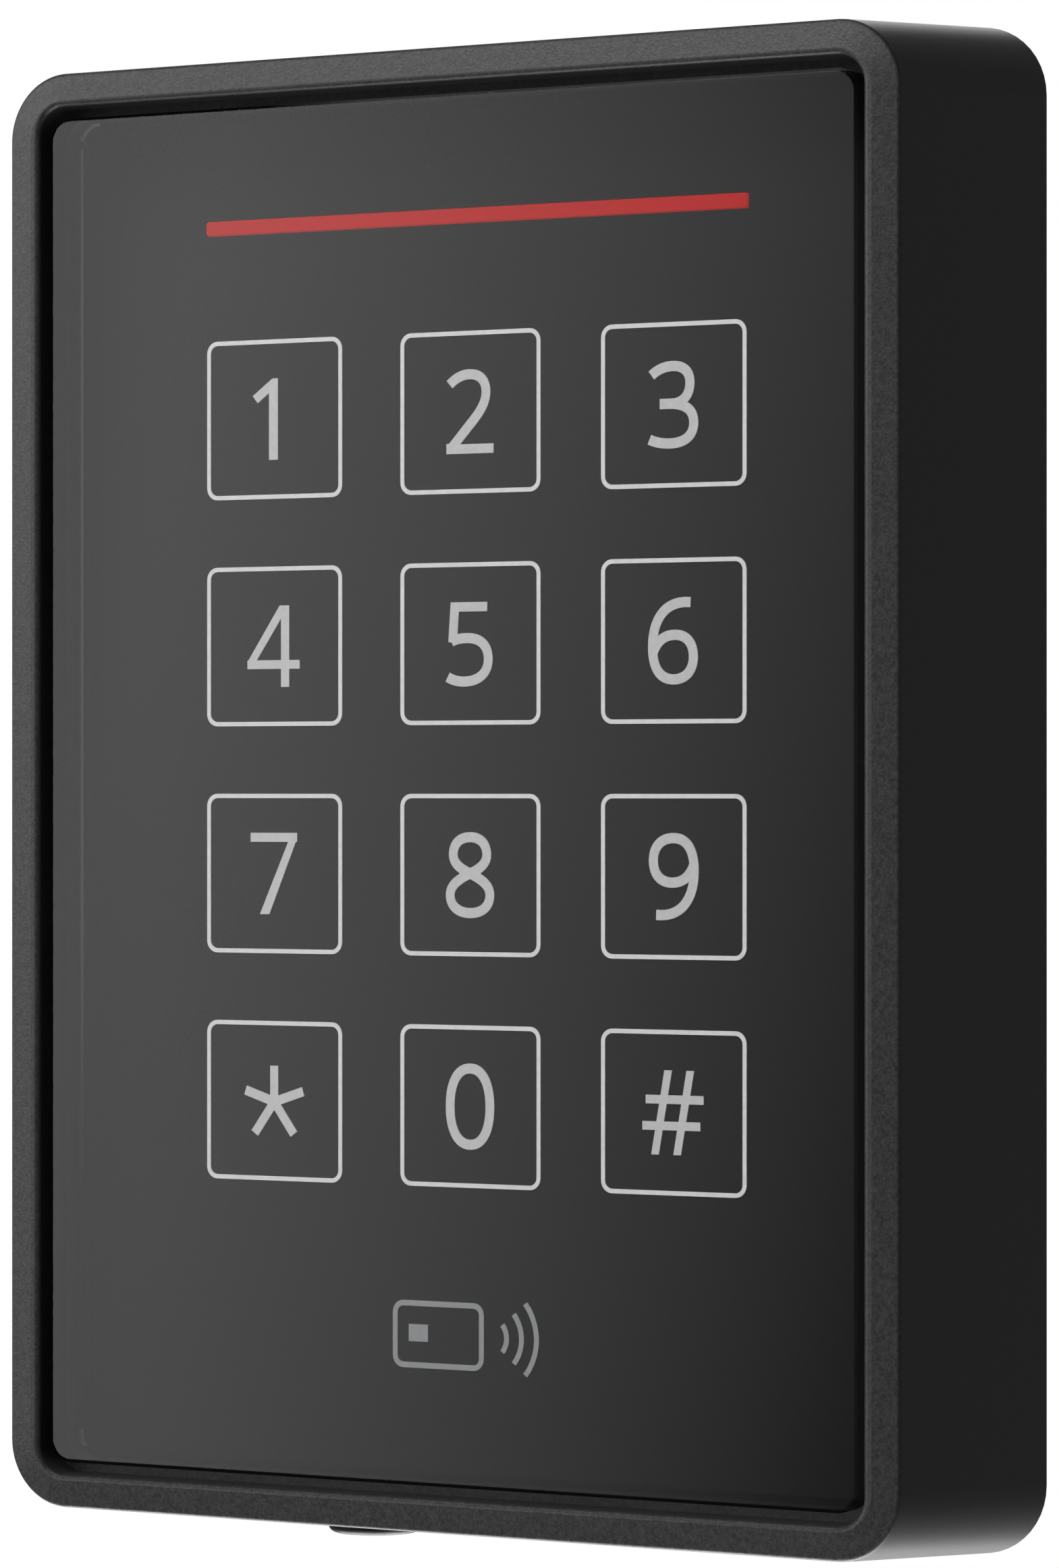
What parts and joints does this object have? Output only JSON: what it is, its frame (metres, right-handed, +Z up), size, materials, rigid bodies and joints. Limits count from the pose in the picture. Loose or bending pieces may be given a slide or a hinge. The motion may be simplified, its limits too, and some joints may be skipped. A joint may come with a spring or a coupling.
{
  "type": "keypad access reader",
  "caption": "Wall-mounted keypad card reader: flared rectangular casing, recessed glossy window with a touch keypad and a light bar, wall plate with cable entry and a bottom locking screw.",
  "frame": {"origin": "centre of the wall face of the mounting plate", "axes": "+Z up along the keypad's length, +Y into the wall, +X to the right as seen from the front"},
  "size_m": [0.0804, 0.0232, 0.1151],
  "materials": {
    "housing_black": "fine spark texture",
    "window_clear": "polished, clear",
    "seal_rubber": "matte",
    "film_black": "satin black print",
    "adhesive_black": "matte",
    "ink_white": "printed ink",
    "bar_red": "lit diffuser",
    "guide_clear": "frosted acrylic",
    "board_black": "black solder mask",
    "board_green": "green solder mask",
    "lamp_white": "moulded lamp",
    "copper": "etched copper",
    "ferrite": "sintered, dull",
    "frame_plastic": "moulded",
    "connector_black": "moulded",
    "chip_black": "moulded epoxy",
    "capacitor_tan": "ceramic",
    "terminal_green": "moulded polyamide",
    "button_orange": "moulded polyamide",
    "pin_tin": "tin plated",
    "plunger_red": "acetal",
    "spring_steel": "drawn wire",
    "cover_black": "moulded, light texture",
    "plate_black": "moulded, fine texture",
    "screw_steel": "zinc plated",
    "screw_black": "blackened steel",
    "washer_nylon": "nylon",
    "brass": "turned"
  },
  "bodies": {
    "reader": {"front_housing": "housing_black", "front_window": "window_clear", "window_seal": "seal_rubber", "legend_film": "film_black", "window_adhesive": "adhesive_black", "key_outline_ink": "ink_white", "led_bar_lens": "bar_red", "backlight_guide": "guide_clear", "touch_board": "board_black", "key_leds": "lamp_white", "status_leds": "lamp_white", "antenna_coil": "copper", "ferrite_sheet": "ferrite", "board_frame": "frame_plastic", "main_board": "board_green", "board_screws": "screw_steel", "link_socket": "connector_black", "link_header": "connector_black", "processor_chip": "chip_black", "radio_chip": "chip_black", "memory_chip": "chip_black", "power_coils": "ferrite", "board_capacitors": "capacitor_tan", "buzzer": "connector_black", "terminal_header": "terminal_green", "header_pins": "pin_tin", "tamper_body": "connector_black", "tamper_spring": "spring_steel", "rear_cover": "cover_black", "cover_gasket": "seal_rubber", "cover_screws": "screw_steel", "wall_plate": "plate_black", "lock_insert": "brass"},
    "seal_washer": {"seal_washer": "washer_nylon"},
    "locking_screw": {"locking_screw": "screw_black"},
    "terminal_plug": {"terminal_plug": "terminal_green"},
    "tamper_plunger": {"tamper_plunger": "plunger_red"},
    "release_button_1": {"release_button_1": "button_orange"},
    "release_button_2": {"release_button_2": "button_orange"},
    "release_button_3": {"release_button_3": "button_orange"},
    "release_button_4": {"release_button_4": "button_orange"},
    "release_button_5": {"release_button_5": "button_orange"},
    "release_button_6": {"release_button_6": "button_orange"}
  },
  "joints": [
    {"name": "lock_washer_slide", "type": "slide", "parent": "reader", "child": "seal_washer", "axis": [0, 0, -1], "range_m": [0, 0.0035]},
    {"name": "lock_screw_turn", "type": "hinge", "parent": "seal_washer", "child": "locking_screw", "pos_m": [-0.0141, -0.0075, -0.0566], "axis": [0, 0, -1], "range_deg": [0, 1800]},
    {"name": "plug_slide", "type": "slide", "parent": "reader", "child": "terminal_plug", "axis": [0, 1, 0], "range_m": [0, 0.006]},
    {"name": "tamper_press", "type": "slide", "parent": "reader", "child": "tamper_plunger", "axis": [0, -1, 0], "range_m": [0, 0.0012], "stiffness_N_per_m": 400, "springref_m": -0.0008, "deforming": ["tamper_spring"]},
    {"name": "release_1_press", "type": "slide", "parent": "terminal_plug", "child": "release_button_1", "axis": [0, -1, 0], "range_m": [0, 0.0008], "stiffness_N_per_m": 800, "springref_m": -0.0004},
    {"name": "release_2_press", "type": "slide", "parent": "terminal_plug", "child": "release_button_2", "axis": [0, -1, 0], "range_m": [0, 0.0008], "stiffness_N_per_m": 800, "springref_m": -0.0004},
    {"name": "release_3_press", "type": "slide", "parent": "terminal_plug", "child": "release_button_3", "axis": [0, -1, 0], "range_m": [0, 0.0008], "stiffness_N_per_m": 800, "springref_m": -0.0004},
    {"name": "release_4_press", "type": "slide", "parent": "terminal_plug", "child": "release_button_4", "axis": [0, -1, 0], "range_m": [0, 0.0008], "stiffness_N_per_m": 800, "springref_m": -0.0004},
    {"name": "release_5_press", "type": "slide", "parent": "terminal_plug", "child": "release_button_5", "axis": [0, -1, 0], "range_m": [0, 0.0008], "stiffness_N_per_m": 800, "springref_m": -0.0004},
    {"name": "release_6_press", "type": "slide", "parent": "terminal_plug", "child": "release_button_6", "axis": [0, -1, 0], "range_m": [0, 0.0008], "stiffness_N_per_m": 800, "springref_m": -0.0004}
  ],
  "couplings": [
    {"joint": "lock_screw_turn", "follows": "lock_washer_slide", "rad_per_m": 8976}
  ]
}
